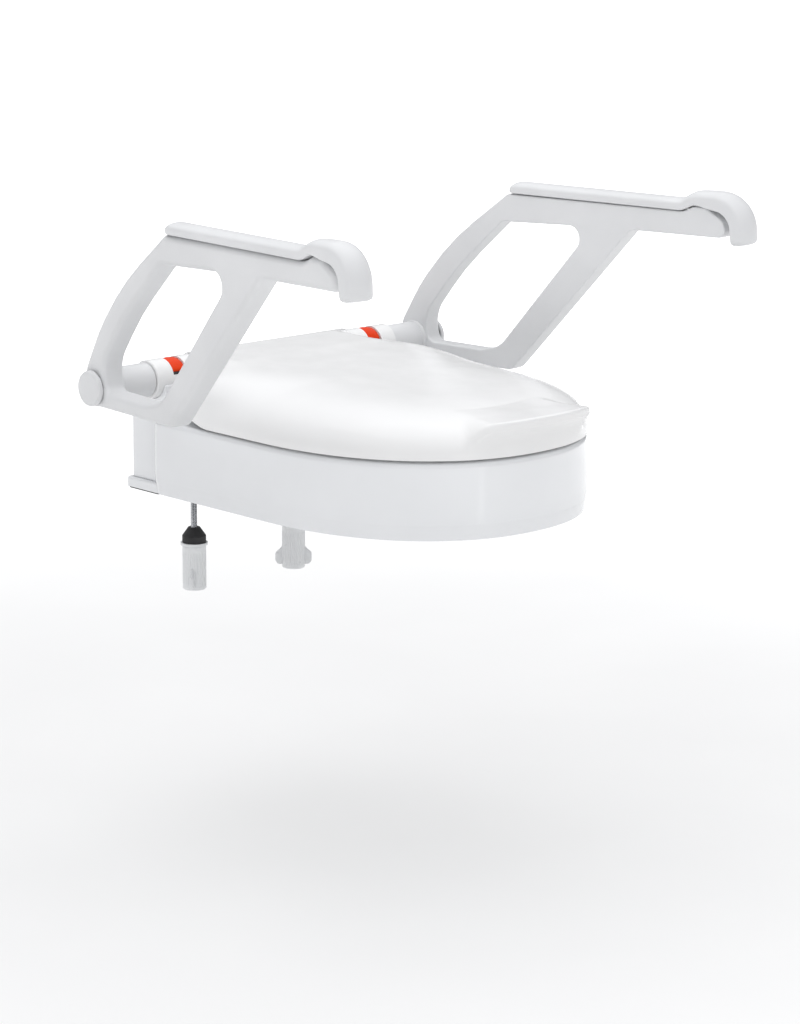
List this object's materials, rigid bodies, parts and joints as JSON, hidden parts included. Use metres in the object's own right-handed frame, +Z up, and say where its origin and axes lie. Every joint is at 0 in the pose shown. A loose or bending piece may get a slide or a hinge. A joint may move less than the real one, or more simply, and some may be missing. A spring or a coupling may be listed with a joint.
{
  "type": "raised toilet seat",
  "caption": "Raised toilet seat that bolts to a toilet's rim, with a thick hinged ring, a domed lid and fold-up loop armrests that end in curled hand grips.",
  "frame": {"origin": "midway between the two fixing bolts, on the plane of the toilet's rim", "axes": "+Z up, -Y towards the front of the seat, +X to the right of the picture when looking along +Y; the hinge axle lies along X"},
  "size_m": [0.614, 0.5468, 0.4851],
  "materials": {
    "shell_white": "glossy moulded",
    "base_white": "fine moulded",
    "arm_grey": "satin moulded",
    "key_red": "glossy moulded",
    "rubber_black": "matt",
    "rubber_white": "matt",
    "steel": "bright turned",
    "bush": "acetal, machined"
  },
  "bodies": {
    "base": {"hinge_bracket": "shell_white", "fixing_plate": "shell_white", "anti_slip_pad": "rubber_black", "plate_screws": "steel", "fixing_bolts": "steel", "axle": "steel", "axle_pins": "steel", "axle_end_screws": "steel", "axle_end_washers": "steel", "left_collar": "shell_white", "right_collar": "shell_white", "collar_screws": "steel", "left_stop_buffer": "rubber_black", "right_stop_buffer": "rubber_black"},
    "ring": {"seat_ring": "shell_white", "ring_base": "base_white", "base_screws": "steel", "rim_buffers": "rubber_black", "ring_bushes": "bush"},
    "lid": {"lid": "shell_white", "lid_bushes": "bush", "lid_buffers": "rubber_white"},
    "left_arm": {"left_arm_frame": "arm_grey", "left_arm_pad": "arm_grey", "left_pad_screws": "steel", "left_arm_bushes": "bush", "left_stop_key": "key_red", "left_end_cap": "arm_grey"},
    "right_arm": {"right_arm_frame": "arm_grey", "right_arm_pad": "arm_grey", "right_pad_screws": "steel", "right_arm_bushes": "bush", "right_stop_key": "key_red", "right_end_cap": "arm_grey"},
    "left_washers": {"left_cone_seal": "rubber_black", "left_flange_washer": "base_white"},
    "left_nut": {"left_wing_nut": "base_white"},
    "right_washers": {"right_cone_seal": "rubber_black", "right_flange_washer": "base_white"},
    "right_nut": {"right_wing_nut": "base_white"}
  },
  "joints": [
    {"name": "ring_lift", "type": "hinge", "parent": "base", "child": "ring", "pos_m": [0, -0.046, 0.131], "axis": [-1, 0, 0], "range_deg": [0, 95]},
    {"name": "lid_lift", "type": "hinge", "parent": "ring", "child": "lid", "pos_m": [0, -0.046, 0.131], "axis": [-1, 0, 0], "range_deg": [0, 95]},
    {"name": "left_arm_fold", "type": "hinge", "parent": "base", "child": "left_arm", "pos_m": [-0.24, -0.046, 0.131], "axis": [-1, 0, 0], "range_deg": [0, 95]},
    {"name": "right_arm_fold", "type": "hinge", "parent": "base", "child": "right_arm", "pos_m": [0.24, -0.046, 0.131], "axis": [-1, 0, 0], "range_deg": [0, 95]},
    {"name": "left_nut_travel", "type": "slide", "parent": "base", "child": "left_washers", "axis": [0, 0, 1], "range_m": [-0.006, 0.03]},
    {"name": "left_nut_spin", "type": "hinge", "parent": "left_washers", "child": "left_nut", "pos_m": [-0.0775, 0, -0.1], "axis": [0, 0, 1], "range_deg": [-1728, 8640]},
    {"name": "right_nut_travel", "type": "slide", "parent": "base", "child": "right_washers", "axis": [0, 0, 1], "range_m": [-0.006, 0.03]},
    {"name": "right_nut_spin", "type": "hinge", "parent": "right_washers", "child": "right_nut", "pos_m": [0.0775, 0, -0.1], "axis": [0, 0, 1], "range_deg": [-1728, 8640]}
  ],
  "couplings": [
    {"joint": "left_nut_spin", "follows": "left_nut_travel", "rad_per_m": 5026.5},
    {"joint": "right_nut_spin", "follows": "right_nut_travel", "rad_per_m": 5026.5}
  ]
}
